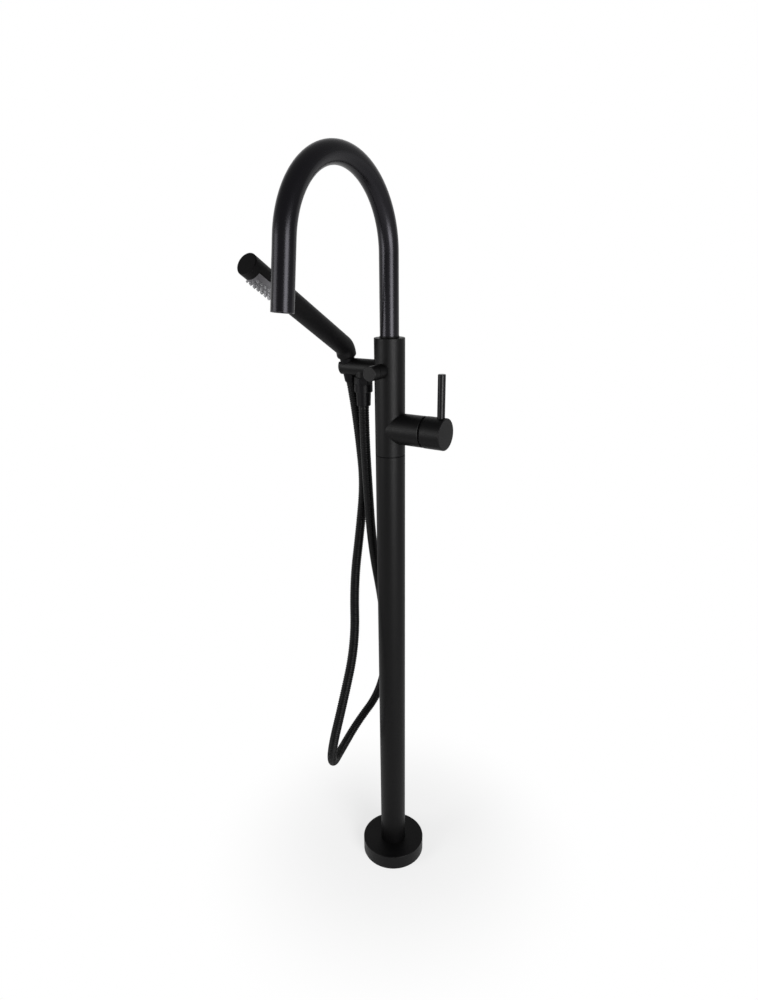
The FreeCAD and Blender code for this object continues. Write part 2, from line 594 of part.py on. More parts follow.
def cartridge():
    outside = "cartridge_pocket_diameter - 2 * slip_gap"
    inside = f"{outside} - 2 * cartridge_wall"
    turned("cartridge_seal", ring("cartridge_pocket_floor", HOUSING_START, "foot_bore", inside),
           at=HANDLE_AXIS, turn=TO_RIGHT)
    lip = f"{HOUSING_END} - cartridge_wall"
    turned("cartridge_housing", [
        (HOUSING_START, "foot_bore / 2"),
        (HOUSING_START, f"({outside}) / 2"),
        (HOUSING_END, f"({outside}) / 2"),
        (HOUSING_END, "rotor_neck_diameter / 2 + running_gap"),
        (lip, "rotor_neck_diameter / 2 + running_gap"),
        (lip, f"({inside}) / 2"),
        (DISC_START, f"({inside}) / 2"),
        (DISC_START, "foot_bore / 2"),
    ], at=HANDLE_AXIS, turn=TO_RIGHT)
    fixed = turned("fixed_disc", rod(DISC_START, f"{DISC_START} + disc_thickness",
                                     f"{inside} - 2 * slip_gap"), at=HANDLE_AXIS, turn=TO_RIGHT)
    port = drill(fixed, "disc_port_diameter", DISC_START + " - 1", f"{DISC_START} + disc_thickness + 1",
                 at=("0", f"({inside}) / 4", "0"))
    around(fixed, port, 3)
    moving_start = f"{DISC_START} + disc_thickness + running_gap"
    turned("moving_disc", rod(moving_start, f"{moving_start} + disc_thickness",
                              f"{inside} - 4 * running_gap"), at=HANDLE_AXIS, turn=TO_RIGHT, bevel=(2,))
    rotor_end = f"{ROTOR_START} + rotor_length"
    shoulder = f"{HOUSING_END} - cartridge_wall - running_gap"
    throat_floor = "spindle_pivot - spindle_diameter / 2 - spindle_foot_gap"
    rotor = turned("cartridge_rotor", [
        (ROTOR_START, "0"),
        (ROTOR_START, f"({inside}) / 2 - running_gap"),
        (shoulder, f"({inside}) / 2 - running_gap"),
        (shoulder, "rotor_neck_diameter / 2"),
        (rotor_end, "rotor_neck_diameter / 2"),
        (rotor_end, "spindle_throat / 2"),
        (throat_floor, "spindle_throat / 2"),
        (throat_floor, "0"),
    ], at=HANDLE_AXIS, turn=TO_RIGHT)
    pin_hole = "spindle_pin_diameter + 2 * slip_gap"
    drill(rotor, pin_hole, "-spindle_pin_length / 2 - slip_gap", "spindle_pin_length / 2 + slip_gap",
          at=("0", "0", "spindle_pivot"), turn=TO_FRONT)
    turned("spindle_pin", rod("-spindle_pin_length / 2", "spindle_pin_length / 2",
                              "spindle_pin_diameter"),
           at=("spindle_pivot", "0", "neck_height"), turn=TO_FRONT)
    spindle = turned("cartridge_spindle", rod("spindle_pivot - spindle_diameter / 2",
                                              "spindle_pivot - spindle_diameter / 2 + spindle_length",
                                              "spindle_diameter"),
                     at=HANDLE_AXIS, turn=TO_RIGHT, bevel=(2,))
    drill(spindle, "spindle_pin_diameter + 2 * running_gap", "-spindle_diameter", "spindle_diameter",
          at=("0", "0", "spindle_pivot"), turn=TO_FRONT)
    turned("cartridge_nut", ring(HOUSING_END, f"{HOUSING_END} + clamp_nut_length", "clamp_nut_bore",
                                 outside), at=HANDLE_AXIS, turn=TO_RIGHT, bevel=(2, 3))


def handle():
    hollow = f"{HANDLE_START} + handle_hollow"
    hub = f"{HANDLE_START} + handle_hub_depth"
    cap = turned("handle_cap", [
        (HANDLE_START, "handle_diameter / 2 - handle_wall"),
        (HANDLE_START, "handle_diameter / 2"),
        (HANDLE_END, "handle_diameter / 2"),
        (HANDLE_END, "0"),
        (hub, "0"),
        (hub, "spindle_diameter / 2 + slip_gap"),
        (hollow, "spindle_diameter / 2 + slip_gap"),
        (hollow, "handle_diameter / 2 - handle_wall"),
    ], at=HANDLE_AXIS, turn=TO_RIGHT, round_off=(2,), round_size="handle_rim_round", bevel=(1,))
    # seen from the cap's own axis, the lever stands towards its -X and the set screw towards its +X
    lever_place = ("0", "0", f"{HANDLE_START} + lever_position")
    seat = "handle_diameter / 2 - lever_seat_depth"
    drill(cap, "lever_diameter + 2 * slip_gap", seat, "handle_diameter", at=lever_place, turn=TO_LEFT)
    drill(cap, "lever_stem_diameter + 2 * slip_gap", "lever_stem_foot - slip_gap", "handle_diameter",
          at=lever_place, turn=TO_LEFT)
    screw_place = ("0", "0", f"{HANDLE_START} + handle_screw_position")
    drill(cap, "handle_screw_diameter + 2 * slip_gap", "0", "handle_diameter", at=screw_place,
          turn=TO_RIGHT)
    lever_across = f"{HANDLE_START} + lever_position"
    turned("handle_lever", [
        ("lever_stem_foot", "0"),
        ("lever_stem_foot", "lever_stem_diameter / 2"),
        (seat, "lever_stem_diameter / 2"),
        (seat, "lever_diameter / 2"),
        ("lever_top", "lever_diameter / 2"),
        ("lever_top", "0"),
    ], at=(lever_across, "0", "neck_height"), bevel=(1, 4))
    screw_start = "spindle_diameter / 2 + slip_gap"
    turned("handle_grub_screw", rod(screw_start, f"{screw_start} + handle_screw_length",
                                    "handle_screw_diameter"),
           at=(f"{HANDLE_START} + handle_screw_position", "0", "neck_height"), turn=(X, "180"))


# ---------------------------------------------------------------- the diverter

OUTLET_AXIS = ("0", "0", "outlet_height")
SLEEVE_END = f"({DIVERTER_BOSS} + diverter_sleeve_length)"
KNOB_START = f"({SLEEVE_END} + diverter_knob_gap)"
KNOB_END = f"({KNOB_START} + diverter_knob_length)"
SLEEVE_RING_PLACE = f"{DIVERTER_BOSS} - diverter_spigot_length / 2"


def diverter():
    spigot = "diverter_bore / 2 - slip_gap"
    spindle_hole = "diverter_spindle_diameter / 2 + running_gap"
    groove = "diverter_bore / 2 - diverter_groove_depth"
    spigot_end = f"{DIVERTER_BOSS} - diverter_spigot_length"
    sleeve = turned("diverter_sleeve", [
        (spigot_end, spindle_hole),
        (spigot_end, spigot),
        (DIVERTER_BOSS, spigot),
        (DIVERTER_BOSS, "diverter_diameter / 2"),
        (SLEEVE_END, "diverter_diameter / 2"),
        (SLEEVE_END, spindle_hole),
    ], at=OUTLET_AXIS, turn=TO_FRONT)
    spin(sleeve, ring(f"{SLEEVE_RING_PLACE} - ring_groove_width / 2",
                      f"{SLEEVE_RING_PLACE} + ring_groove_width / 2",
                      f"2 * ({groove})", "diverter_bore + 1"), cut=True)
    o_rings("diverter_o_ring", f"2 * ({groove})", "diverter_bore", [("0", "0", SLEEVE_RING_PLACE)],
            at=OUTLET_AXIS, turn=TO_FRONT)
    knob_hole = f"{KNOB_END} - diverter_knob_front"
    turned("diverter_knob", [
        (KNOB_START, "diverter_spindle_diameter / 2 + slip_gap"),
        (KNOB_START, "diverter_diameter / 2"),
        (KNOB_END, "diverter_diameter / 2"),
        (KNOB_END, "0"),
        (knob_hole, "0"),
        (knob_hole, "diverter_spindle_diameter / 2 + slip_gap"),
    ], at=OUTLET_AXIS, turn=TO_FRONT, bevel=(1, 2))
    valve_start = "-diverter_valve_place"
    valve_end = "diverter_valve_length - diverter_valve_place"
    turned("diverter_spindle", rod(valve_start, knob_hole, "diverter_spindle_diameter"),
           at=OUTLET_AXIS, turn=TO_FRONT, bevel=(1,))
    turned("diverter_valve", ring(valve_start, valve_end, "diverter_spindle_diameter + 2 * slip_gap",
                                  "diverter_bore - 4 * running_gap"), at=OUTLET_AXIS, turn=TO_FRONT)


# ---------------------------------------------------------------- the holder bar and the hose's nuts

BAR_START = f"({BAR_BOSS} + bar_seal_thickness)"
CRADLE = ("-cradle_position", "0", "0")
OUTLET = ("-outlet_position", "0", "0")


def cone_radius(along, gap="0"):
    """Radius of the conical nut at a place above the bar's axis."""
    return f"((cone_mid_diameter + cone_taper * ({along})) / 2 + {gap})"


def holder_bar():
    body = new_body("holder_bar", at=OUTLET_AXIS)
    spigot = "bar_spigot_diameter / 2"
    bar = spin(body, [
        (f"{BAR_START} - bar_spigot_length", "0"),
        (f"{BAR_START} - bar_spigot_length", spigot),
        (BAR_START, spigot),
        (BAR_START, "bar_diameter / 2"),
        ("bar_end", "bar_diameter / 2"),
        ("bar_end", "0"),
    ], turn=TO_LEFT)
    ease(body, "Chamfer", "edge_bevel", corner_edges(body, bar, (4,)))
    spin(body, rod("-outlet_nipple_drop", "0", "outlet_thread"), at=OUTLET)
    drill(body, "water_bore", f"{BAR_START} - bar_spigot_length - 1", "outlet_position", turn=TO_LEFT)
    drill(body, "water_bore", "-outlet_nipple_drop - 1", "0", at=OUTLET)
    drill(body, "check_valve_diameter + 2 * slip_gap", "-outlet_nipple_drop - 1",
          "-outlet_nipple_drop + check_valve_length + slip_gap", at=OUTLET)
    spin(body, [
        ("-bar_diameter", "0"),
        ("-bar_diameter", cone_radius("-bar_diameter", "cradle_gap")),
        ("bar_diameter", cone_radius("bar_diameter", "cradle_gap")),
        ("bar_diameter", "0"),
    ], cut=True, at=CRADLE, turn=LEANING)
    slot = new_sketch(body, "XY_Plane", "Slot")
    slot.AttachmentOffset = FreeCAD.Placement(V(), FreeCAD.Rotation(X, 1.0))
    bind(slot, "AttachmentOffset.Rotation.Angle", "cradle_tilt")
    near, far = "-cradle_position", "-bar_end - 1"
    closed_outline(slot, [
        (near, "-cradle_slot / 2"),
        (near, "cradle_slot / 2"),
        (far, "cradle_slot / 2"),
        (far, "-cradle_slot / 2"),
    ])
    pocket = body.newObject("PartDesign::Pocket", "SlotCut")
    pocket.Profile = slot
    pocket.SideType = "Symmetric"
    bind(pocket, "Length", "3 * bar_diameter")
    doc.recompute()
    turned("holder_seal", ring(BAR_BOSS, BAR_START, "bar_spigot_diameter + 2 * slip_gap",
                               "bar_diameter - 2 * edge_bevel"), at=OUTLET_AXIS, turn=TO_LEFT)


def outlet_parts():
    at = ("-outlet_position", "0", "outlet_height")
    turned("outlet_check_valve", ring("-outlet_nipple_drop + slip_gap",
                                      "-outlet_nipple_drop + check_valve_length",
                                      "water_bore / 2", "check_valve_diameter"), at=at)
    washer_top = "-outlet_nipple_drop"
    washer_foot = "-outlet_nipple_drop - hose_washer_thickness"
    turned("outlet_hose_washer", ring(washer_foot, washer_top, "hose_bore + 2", "outlet_thread - 1"),
           at=at)
    nut = new_body("outlet_hose_nut", at=at)
    top = "-outlet_nut_top"
    collar_top = f"({top} - outlet_hexagon_length)"
    collar_foot = f"({collar_top} - outlet_collar_length)"
    foot = f"({collar_foot} - outlet_sleeve_length)"
    thread = "outlet_thread / 2 + slip_gap"
    turned_nut = spin(nut, [
        (foot, "hose_bore / 2"),
        (foot, "outlet_sleeve_bottom / 2"),
        (collar_foot, "outlet_sleeve_top / 2"),
        (collar_foot, "outlet_collar_diameter / 2"),
        (collar_top, "outlet_collar_diameter / 2"),
        (top, "outlet_collar_diameter / 2"),
        (top, thread),
        (washer_foot, thread),
        (washer_foot, "hose_bore / 2"),
    ])
    ease(nut, "Chamfer", "edge_bevel", corner_edges(nut, turned_nut, (3, 5)))
    ease(nut, "Fillet", "edge_bevel * 2", corner_edges(nut, turned_nut, (1,)))
    # the hexagon is what six flats leave of the nut's upper part
    flat = new_sketch(nut, "XY_Plane", "Flat")
    bind(flat, "AttachmentOffset.Base.z", collar_top)
    near, far = "outlet_nut_flats / 2", "outlet_collar_diameter"
    closed_outline(flat, [
        (near, "-outlet_nut_flats"),
        (far, "-outlet_nut_flats"),
        (far, "outlet_nut_flats"),
        (near, "outlet_nut_flats"),
    ])
    pocket = nut.newObject("PartDesign::Pocket", "FlatCut")
    pocket.Profile = flat
    pocket.Reversed = True
    bind(pocket, "Length", "outlet_hexagon_length + 1")
    doc.recompute()
    around(nut, pocket, 6)


TAIL = ("-cradle_position", "0", "outlet_height")
LEG_END = "(elbow_height - leg_length)"
THREAD_END = f"({LEG_END} - hand_thread_length)"


def hand_hose_nut():
    foot = "-cone_below"
    washer_foot = f"({THREAD_END} - hose_washer_thickness)"
    turned("hand_hose_nut", [
        (foot, "hose_bore / 2"),
        (foot, cone_radius(foot)),
        (f"{LEG_END} - slip_gap", cone_radius(LEG_END)),
        (f"{LEG_END} - slip_gap", "hand_thread / 2 + running_gap"),
        (washer_foot, "hand_thread / 2 + running_gap"),
        (washer_foot, "hose_bore / 2"),
    ], at=TAIL, turn=LEANING, round_off=(1,), round_size="cone_end_round")
    turned("hand_hose_washer", ring(washer_foot, f"{THREAD_END} - slip_gap", "hose_bore + 1",
                                    "hand_thread"), at=TAIL, turn=LEANING)


# ---------------------------------------------------------------- the hand shower

# The point where the axes of its leg and its handle meet is the origin of all its pieces.
ELBOW = (
    "-cradle_position",
    "-elbow_height * sin(cradle_tilt * 1 deg)",
    "outlet_height + elbow_height * cos(cradle_tilt * 1 deg)",
)
ALONG_BATON = (X, "cradle_tilt + baton_bend")
BEND_SETBACK = "(baton_bend_radius * tan(baton_bend / 2 * 1 deg))"
BATON_END = "(baton_length - end_cap_thickness)"
BATON_BORE = "(baton_diameter - 2 * baton_wall)"
SPRAY_END = "(spray_start + spray_length)"
SPRAY_INNER = "(baton_diameter / 2 - spray_plate_thickness)"


def hand_shower_body():
    body = new_body("hand_shower_body", at=ELBOW, turn=LEANING)
    bent_pipe(body, False, "-leg_length", f"-{BEND_SETBACK}", "baton_bend_radius", "baton_bend",
              f"{BATON_END} - {BEND_SETBACK}", ["baton_diameter"])
    leg_edge = edges_where(body, lambda point: abs(point.z + number("leg_length")) < TOUCH)
    ease(body, "Fillet", "leg_round", leg_edge)
    bent_pipe(body, True, "-leg_length + baton_wall", f"-{BEND_SETBACK}", "baton_bend_radius",
              "baton_bend", f"{BATON_END} - {BEND_SETBACK} + 1", [BATON_BORE])
    drill(body, "hand_thread + 2 * slip_gap", "-leg_length - 1", "-leg_length + baton_wall + 1")
    # the window that the spray plate fills
    spin(body, [
        ("spray_start", f"{BATON_BORE} / 2 - 1"),
        ("spray_start", "baton_diameter / 2 + 1"),
        (SPRAY_END, "baton_diameter / 2 + 1"),
        (SPRAY_END, f"{BATON_BORE} / 2 - 1"),
    ], cut=True, side="-", turn=(X, "baton_bend"), sweep="spray_sweep")


def hand_shower_nipple():
    """The threaded nipple that passes through the leg's end wall into the conical nut."""
    foot = "-leg_length - hand_thread_length"
    seat = "(-leg_length + baton_wall)"
    flange_top = f"{seat} + nipple_flange_thickness"
    turned("hand_shower_nipple", [
        (foot, "hose_bore / 2"),
        (foot, "hand_thread / 2"),
        (seat, "hand_thread / 2"),
        (seat, "nipple_flange_diameter / 2"),
        (flange_top, "nipple_flange_diameter / 2"),
        (flange_top, "hose_bore / 2"),
    ], at=ELBOW, turn=LEANING)


def end_cap():
    turned("hand_shower_end_cap", [
        (f"{BATON_END} - end_cap_insertion", "0"),
        (f"{BATON_END} - end_cap_insertion", f"{BATON_BORE} / 2 - slip_gap"),
        (BATON_END, f"{BATON_BORE} / 2 - slip_gap"),
        (BATON_END, "baton_diameter / 2"),
        ("baton_length", "baton_diameter / 2"),
        ("baton_length", "0"),
    ], at=ELBOW, turn=ALONG_BATON, round_off=(4,), round_size="end_cap_round")


def nozzle_grid(body, first):
    """Repeat the first hole or nozzle along and round the handle."""
    grid = body.newObject("PartDesign::MultiTransform", "Grid")
    rows = body.newObject("PartDesign::LinearPattern", "Rows")
    rows.Direction = (origin_feature(body, "Z_Axis"), [""])
    bind(rows, "Length", "nozzle_pitch * (nozzle_rows - 1)")
    bind(rows, "Occurrences", "nozzle_rows")
    columns = body.newObject("PartDesign::PolarPattern", "Columns")
    columns.Axis = (origin_feature(body, "Z_Axis"), [""])
    bind(columns, "Angle", "nozzle_angle * (nozzle_columns - 1)")
    bind(columns, "Occurrences", "nozzle_columns")
    grid.Originals = [first]
    grid.Transformations = [rows, columns]
    body.Tip = grid
    doc.recompute()


def first_nozzle(body, cut, outline):
    """Turn an outline about the spoke on which the first nozzle stands."""
    feature = spin(body, outline, cut, turn=TO_FRONT)
    sketch = feature.Profile[0]
    half_fan = number("nozzle_angle * (nozzle_columns - 1) / 2")
    sketch.setExpression("AttachmentOffset.Rotation.Angle", None)
    spoke = FreeCAD.Rotation(side_plane_axes(Z), -half_fan).multiply(
        FreeCAD.Rotation(side_plane_axes(X), 90))
    sketch.AttachmentOffset = FreeCAD.Placement(V(), spoke)
    bind(sketch, "AttachmentOffset.Base.y",
         "spray_start + (spray_length - nozzle_pitch * (nozzle_rows - 1)) / 2")
    doc.recompute()
    return feature


def spray_parts():
    plate = new_body("spray_plate", at=ELBOW, turn=ALONG_BATON)
    low, high = "spray_start + slip_gap", f"{SPRAY_END} - slip_gap"
    spin(plate, [
        (low, SPRAY_INNER),
        (low, "baton_diameter / 2"),
        (high, "baton_diameter / 2"),
        (high, SPRAY_INNER),
    ], side="-", sweep="spray_sweep - 1")
    hole = first_nozzle(plate, True, rod(f"{SPRAY_INNER} / 2", "baton_diameter",
                                         "nozzle_root_diameter + 2 * nozzle_hole_gap"))
    nozzle_grid(plate, hole)

    mat = new_body("spray_nozzles", at=ELBOW, turn=ALONG_BATON)
    mat_outer = f"({SPRAY_INNER} - slip_gap)"
    mat_inner = f"({mat_outer} - nozzle_mat_thickness)"
    spin(mat, [
        ("spray_start + 2", mat_inner),
        ("spray_start + 2", mat_outer),
        (f"{SPRAY_END} - 2", mat_outer),
        (f"{SPRAY_END} - 2", mat_inner),
    ], side="-", sweep="spray_sweep - 20")
    nozzle = first_nozzle(mat, False, [
        (f"{mat_inner} + nozzle_mat_thickness / 2", "0"),
        (f"{mat_inner} + nozzle_mat_thickness / 2", "nozzle_root_diameter / 2"),
        ("baton_diameter / 2", "nozzle_root_diameter / 2"),
        ("baton_diameter / 2 + nozzle_height", "nozzle_tip_diameter / 2"),
        ("baton_diameter / 2 + nozzle_height", "0"),
    ])
    nozzle_grid(mat, nozzle)


# ---------------------------------------------------------------- the spout

SPOUT_BORE = "(spout_diameter - 2 * spout_wall)"
COLLAR_TOP = "(body_top + collar_height)"
FOOT_RADIUS = "(socket_diameter / 2 - running_gap)"
FOOT_START = "(body_top - socket_depth + bearing_thickness)"
FOOT_GROOVE = "(socket_diameter / 2 - ring_groove_depth)"
FOOT_RING_PLACES = (f"{FOOT_START} + foot_ring_place",
                    f"{FOOT_START} + foot_ring_place + foot_ring_pitch")
SPOUT_END = (
    "0",
    "spout_arch_radius * (cos(spout_arch_sweep * 1 deg) - 1)"
    " - spout_leg_length * sin(spout_arch_sweep * 1 deg)",
    "spout_arch_height + spout_arch_radius * sin(spout_arch_sweep * 1 deg)"
    " + spout_leg_length * cos(spout_arch_sweep * 1 deg)",
)
UP_THE_LEG = (X, "spout_arch_sweep - 180")


def spout():
    tube = new_body("spout_tube")
    bent_pipe(tube, False, COLLAR_TOP, "spout_arch_height", "spout_arch_radius", "spout_arch_sweep",
              "spout_leg_length", ["spout_diameter", SPOUT_BORE])
    turned("spout_collar", ring("body_top", COLLAR_TOP, f"2 * {FOOT_RADIUS} + 2 * slip_gap",
                                "collar_diameter"), bevel=(2,))
    foot_top = f"({COLLAR_TOP} + foot_insertion)"
    foot = turned("spout_foot", [
        (FOOT_START, "foot_bore / 2"),
        (FOOT_START, FOOT_RADIUS),
        (COLLAR_TOP, FOOT_RADIUS),
        (COLLAR_TOP, f"{SPOUT_BORE} / 2 - slip_gap"),
        (foot_top, f"{SPOUT_BORE} / 2 - slip_gap"),
        (foot_top, "foot_bore / 2"),
    ], bevel=(1,))
    wide = "socket_diameter + 1"
    for place in FOOT_RING_PLACES:
        spin(foot, ring(f"{place} - ring_groove_width / 2", f"{place} + ring_groove_width / 2",
                        f"2 * {FOOT_GROOVE}", wide), cut=True)
    lock_floor = f"2 * ({FOOT_RADIUS} - lock_groove_depth)"
    spin(foot, ring("lock_screw_height - lock_screw_diameter / 2 - running_gap",
                    "lock_screw_height + lock_screw_diameter / 2 + running_gap",
                    lock_floor, wide), cut=True)
    o_rings("spout_o_rings", f"2 * {FOOT_GROOVE}", "socket_diameter",
            [("0", "0", place) for place in FOOT_RING_PLACES])
    turned("spout_bearing", ring(SOCKET_FLOOR, f"{FOOT_START} - running_gap", "foot_bore",
                                 "socket_diameter - 2 * slip_gap"))
    turned("spout_retaining_screw", rod(f"{lock_floor} / 2 + 2 * running_gap",
                                        "column_diameter / 2 - edge_bevel",
                                        "lock_screw_diameter - 2 * slip_gap"),
           at=("0", "0", "lock_screw_height"), turn=TO_BACK, bevel=(2,))


def aerator():
    outside = f"{SPOUT_BORE} - 2 * slip_gap"
    inside = f"({outside} - 2 * aerator_wall)"
    top = "aerator_setback + aerator_length"
    turned("aerator_housing", ring("aerator_setback", top, inside, outside), at=SPOUT_END,
           turn=UP_THE_LEG)
    turned("aerator_seal", ring(top, f"{top} + hose_washer_thickness", inside, outside), at=SPOUT_END,
           turn=UP_THE_LEG)
    insert_start = "aerator_setback + 1"
    insert = turned("aerator_insert", rod(insert_start, f"{insert_start} + aerator_plate",
                                          f"{inside} - 2 * slip_gap"), at=SPOUT_END, turn=UP_THE_LEG)
    drill(insert, "aerator_hole", "0", f"{insert_start} + aerator_plate + 1")
    for count, radius in ((6, "aerator_hole * 1.3"), (12, "aerator_hole * 2.5")):
        hole = drill(insert, "aerator_hole", "0", f"{insert_start} + aerator_plate + 1",
                     at=("0", radius, "0"))
        around(insert, hole, count)


# ---------------------------------------------------------------- the hose

def shower_hose():
    """A tube along straight runs joined by tangent arcs, from nut to nut."""
    lean = math.radians(number("cradle_tilt"))
    down_the_tail = V(0, math.sin(lean), -math.cos(lean))
    on_bar = V(-number("cradle_position"), 0, number("outlet_height"))
    start = on_bar + down_the_tail * number("cone_below")
    leaving_nut = start + down_the_tail * number("hose_first_run")
    nut_length = number("outlet_nut_top + outlet_hexagon_length + outlet_collar_length"
                        " + outlet_sleeve_length")
    end = V(-number("outlet_position"), 0, number("outlet_height") - nut_length)
    reaching_nut = end - Z * number("hose_last_run")
    route = [start, leaving_nut] + [V(*place) for place in HOSE_ROUTE] + [reaching_nut, end]

    edges = []
    here = route[0]
    radii = []
    for before, corner, after in zip(route, route[1:], route[2:]):
        arriving = (corner - before).normalize()
        leaving = (after - corner).normalize()
        turn = arriving.getAngle(leaving)
        setback = 0.45 * min((corner - before).Length, (after - corner).Length)
        radii.append(setback / math.tan(turn / 2))
        arc_start = corner - arriving * setback
        arc_end = corner + leaving * setback
        bisector = (leaving - arriving).normalize()
        middle = corner + bisector * (radii[-1] / math.cos(turn / 2) - radii[-1])
        edges.append(Part.LineSegment(here, arc_start).toShape())
        edges.append(Part.Arc(arc_start, middle, arc_end).toShape())
        here = arc_end
    edges.append(Part.LineSegment(here, route[-1]).toShape())
    path = Part.Wire(edges)

    def pipe(radius):
        profile = Part.Wire([Part.Circle(route[0], route[1] - route[0], radius).toShape()])
        return path.makePipeShell([profile], True, False)

    outer, inner = number("hose_diameter / 2"), number("hose_bore / 2")
    solid = pipe(outer).cut(pipe(inner))
    section = math.pi * (outer ** 2 - inner ** 2)
    print("hose route", [tuple(round(value, 2) for value in point) for point in route])
    print("hose radii", [round(radius) for radius in radii])
    print("hose runs", [round((b - a).Length) for a, b in zip(route, route[1:])])
    print("hose length", round(path.Length, 1), "volume over section times length",
          round(solid.Volume / (section * path.Length), 5))
    hose = doc.addObject("Part::Feature", "shower_hose")
    hose.Label = "shower_hose"
    hose.Shape = solid
    parts.append(hose)


# ---------------------------------------------------------------- the whole

def write_parts():
    doc.recompute()
    for item in doc.Objects:
        if "Invalid" in item.State or "Error" in item.State:
            raise RuntimeError(f"{item.Label} could not be built: {item.State}")
    os.makedirs("parts", exist_ok=True)
    for part in parts:
        if part.Shape.isNull() or not part.Shape.isValid() or not part.Shape.Solids:
            raise RuntimeError(f"{part.Label} is not a sound solid")
    for part in parts:
        part.Shape.exportStep(os.path.join("parts", part.Label + ".step"))
    print(len(parts), "pieces written")


floor_flange()
column()
base_cover()
supply()
mixer_body()
supply_rings()
cartridge()
handle()
diverter()
holder_bar()
outlet_parts()
hand_hose_nut()
hand_shower_body()
hand_shower_nipple()
end_cap()
spray_parts()
spout()
aerator()
shower_hose()
write_parts()
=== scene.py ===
"""Looks of a floor standing bath filler: finishes, ribbed hose, studio floor, light and camera.

Laid out as an add-on and run as a script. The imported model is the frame, in metres:
+Z up, the spout towards -Y, the mixer's handle towards +X.
"""

import bisect
import math
from collections import namedtuple

import bmesh
import bpy
from mathutils import Matrix, Vector


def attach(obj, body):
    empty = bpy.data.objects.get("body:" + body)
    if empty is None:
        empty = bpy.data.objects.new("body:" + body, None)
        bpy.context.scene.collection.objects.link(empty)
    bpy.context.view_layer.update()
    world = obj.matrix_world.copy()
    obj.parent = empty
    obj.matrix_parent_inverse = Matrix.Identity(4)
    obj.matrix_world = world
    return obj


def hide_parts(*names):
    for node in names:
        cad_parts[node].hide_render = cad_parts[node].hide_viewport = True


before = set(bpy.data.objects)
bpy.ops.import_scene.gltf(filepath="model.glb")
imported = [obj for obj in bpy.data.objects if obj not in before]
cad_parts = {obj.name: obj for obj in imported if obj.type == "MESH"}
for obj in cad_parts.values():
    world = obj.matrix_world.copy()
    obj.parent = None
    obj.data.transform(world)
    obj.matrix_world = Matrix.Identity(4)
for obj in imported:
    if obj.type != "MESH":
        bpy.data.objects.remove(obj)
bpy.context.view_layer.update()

bl_info = {
    "name": "Bath Filler Finish",
    "version": (1, 0, 0),
    "blender": (4, 5, 0),
    "location": "View3D > Sidebar > Bath Filler",
    "description": "Finishes, hose and studio for a floor standing bath filler",
    "category": "Object",
}

# ---------------------------------------------------------------- fixed values, lengths in metres

# The grain that every finish has.
CLOUDS_PER_METRE = 34.0      # patches of slightly lighter and darker colour
CLOUD_RANGE = (0.3, 0.72)    # noise values between which the colour changes
GRAIN_RANGE = (0.3, 0.7)     # noise values between which the sheen changes
TINY_GRAIN = 3.7             # how many times finer the second grain is
GRAIN_DEPTH = 0.12           # depth of a bump as a share of the grain's size
TINT_SPREAD = 2.5            # how many times more the colour varies than the sheen
SMOOTHEST = 0.02             # the lowest roughness of any finish

# How much rougher some pieces are than the coat whose colour they share.
BATON_ROUGHER = 0.05
BATON_COARSER = 1.3          # how many times larger the hand shower's grain is
PIN_ROUGHER = 0.02
NUTS_ROUGHER = 0.16

# The hose's route, from the conical nut down, round and up to the outlet's nut.
HOSE_ROUTE = (
    (-0.065, 0.00516, 0.78406),
    (-0.065, 0.01292, 0.75404),
    (-0.066, 0.024, 0.699),
    (-0.065, 0.031, 0.633),
    (-0.067, 0.020, 0.563),
    (-0.061, -0.008, 0.488),
    (-0.038, -0.041, 0.406),
    (-0.034, -0.083, 0.328),
    (-0.042, -0.104, 0.256),
    (-0.061, -0.081, 0.202),
    (-0.085, -0.028, 0.181),
    (-0.090, 0.030, 0.201),
    (-0.069, 0.068, 0.246),
    (-0.050, 0.067, 0.330),
    (-0.043, 0.043, 0.437),
    (-0.044, 0.017, 0.543),
    (-0.0416, 0.005, 0.644),
    (-0.0416, 0.0, 0.7135),
    (-0.0416, 0.0, 0.7535),
)
ROUTE_STEPS = 24             # points read from the smooth curve for each of the route's

# The rib's section over one turn: share of the pitch, and height from the groove, 0, to the crest, 1.
RIB = (
    (0.0, 0.0),
    (0.09, 0.06),
    (0.16, 0.30),
    (0.22, 0.62),
    (0.30, 0.88),
    (0.5, 1.0),
    (0.70, 0.88),
    (0.78, 0.62),
    (0.84, 0.30),
    (0.91, 0.06),
)
FADING_TURNS = 2.0           # turns at each end of the hose over which the groove runs out
WELD = 1e-6                  # points nearer than this become one, and shorter edges go

# The room is white behind the object and dimmer above and in front of it.
DIM_SIDE = Vector((0.55, -0.65, 0.52))
WHITE_WALL = (-0.9, 1.0)     # how far towards the dim side, and how strong the room is there
DIM_WALL = (0.1, 0.3)

# How white the floor is by itself: distance from the origin, and share. In between it eases.
SEEN_NEAR = (0.06, 0.72)     # to the camera; the rest of the share keeps the shadow
SEEN_FAR = (0.34, 1.0)
MIRRORED_NEAR = (0.6, 0.4)   # in reflections
MIRRORED_FAR = (3.0, 0.65)
FLOOR_REACH = 30.0           # from the origin to the floor's edges

